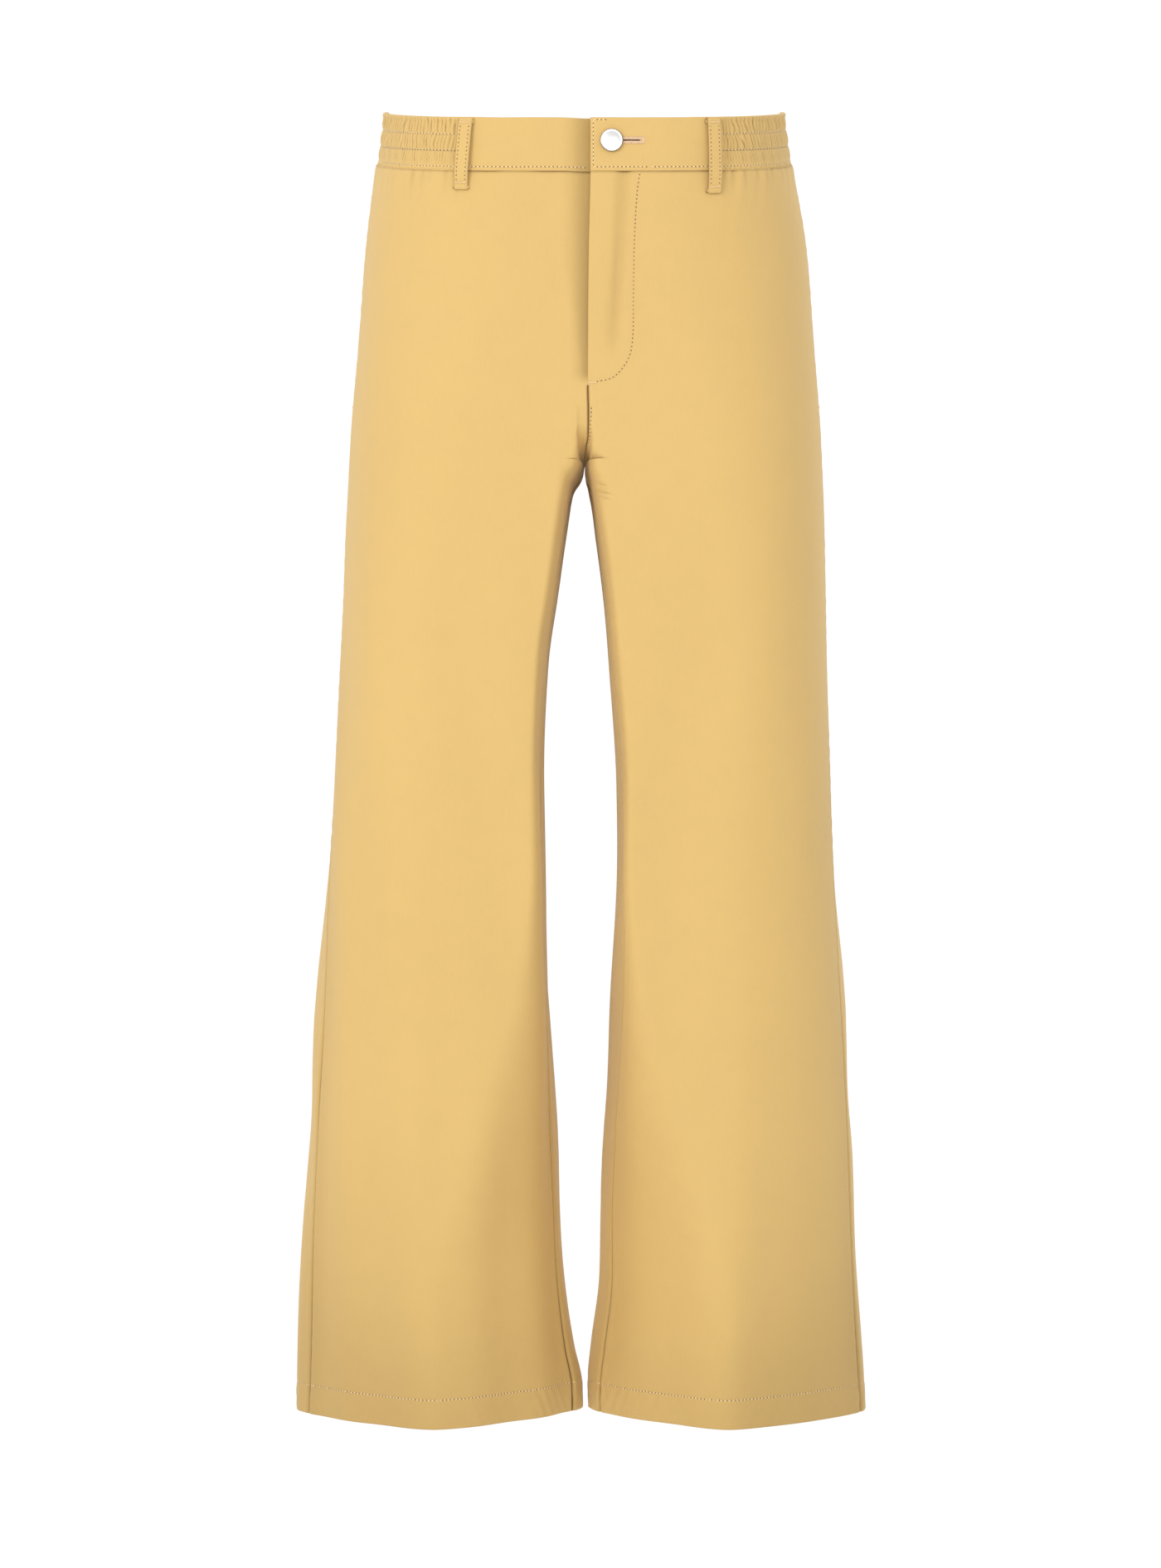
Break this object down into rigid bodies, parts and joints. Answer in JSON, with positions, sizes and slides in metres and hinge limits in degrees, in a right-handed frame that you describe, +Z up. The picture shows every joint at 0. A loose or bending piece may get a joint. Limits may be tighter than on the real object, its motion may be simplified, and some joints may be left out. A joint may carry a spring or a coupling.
{
  "type": "wide-leg trousers",
  "caption": "Casual wide-leg twill trousers with a partly elasticated waistband, a zip fly, a shank button, belt loops and turned hems.",
  "frame": {"origin": "middle of the waist opening, level with its top edge at the hips", "axes": "+Z up along the height, +X towards the wearer's left, -Y towards the front"},
  "size_m": [0.4459, 0.2506, 1.0257],
  "materials": {
    "twill": "matte cotton twill",
    "lining": "plain woven pocketing",
    "thread": "matte sewing thread",
    "elastic": "woven elastic",
    "tape": "woven zip tape",
    "brass": "aged, satin",
    "nickel": "bright nickel plate"
  },
  "bodies": {
    "root": {"front_panel_right": "twill", "front_panel_left": "twill", "back_panel_right": "twill", "back_panel_left": "twill", "hem_fold_right": "twill", "hem_fold_left": "twill", "waistband_front_right": "twill", "waistband_front_left": "twill", "waistband_side_right": "twill", "waistband_side_left": "twill", "waistband_back": "twill", "waistband_facing_right": "twill", "waistband_facing_left": "twill", "belt_loop_front_right": "twill", "belt_loop_front_left": "twill", "belt_loop_back_right": "twill", "belt_loop_back_left": "twill", "belt_loop_back_centre": "twill", "fly_shield": "twill", "back_welt_right": "twill", "back_welt_left": "twill", "pocket_bag_right": "lining", "pocket_bag_left": "lining", "back_pocket_bag_right": "lining", "back_pocket_bag_left": "lining", "elastic_right": "elastic", "elastic_left": "elastic", "zip_tape_right": "tape", "zip_chain_right": "brass", "zip_top_stop_right": "brass", "zip_bottom_stop": "brass", "button_stud": "brass"},
    "fly": {"fly_flap": "twill", "fly_facing": "twill", "waistband_tab": "twill", "waistband_tab_facing": "twill", "buttonhole_edge": "thread", "zip_tape_left": "tape", "zip_chain_left": "brass", "zip_top_stop_left": "brass"},
    "slider": {"zip_slider": "nickel"},
    "pull": {"zip_pull": "nickel"},
    "button": {"button_cap": "nickel"}
  },
  "joints": [
    {"name": "fly_open", "type": "hinge", "parent": "root", "child": "fly", "pos_m": [0.048, -0.112, -0.14], "axis": [0, 0, 1], "range_deg": [0, 110], "deforming": ["fly_flap", "fly_facing", "waistband_tab", "waistband_tab_facing", "buttonhole_edge", "zip_tape_left", "zip_chain_left", "zip_top_stop_left"]},
    {"name": "zip_slide", "type": "slide", "parent": "root", "child": "slider", "axis": [0, 0, -1], "range_m": [0, 0.138], "deforming": ["zip_chain_right"]},
    {"name": "pull_swing", "type": "hinge", "parent": "slider", "child": "pull", "pos_m": [0.022, -0.1075, -0.0737], "axis": [-1, 0, 0], "range_deg": [0, 150]},
    {"name": "button_swivel", "type": "hinge", "parent": "root", "child": "button", "pos_m": [0.0205, -0.112, -0.042], "axis": [0, -1, 0], "continuous": true}
  ]
}
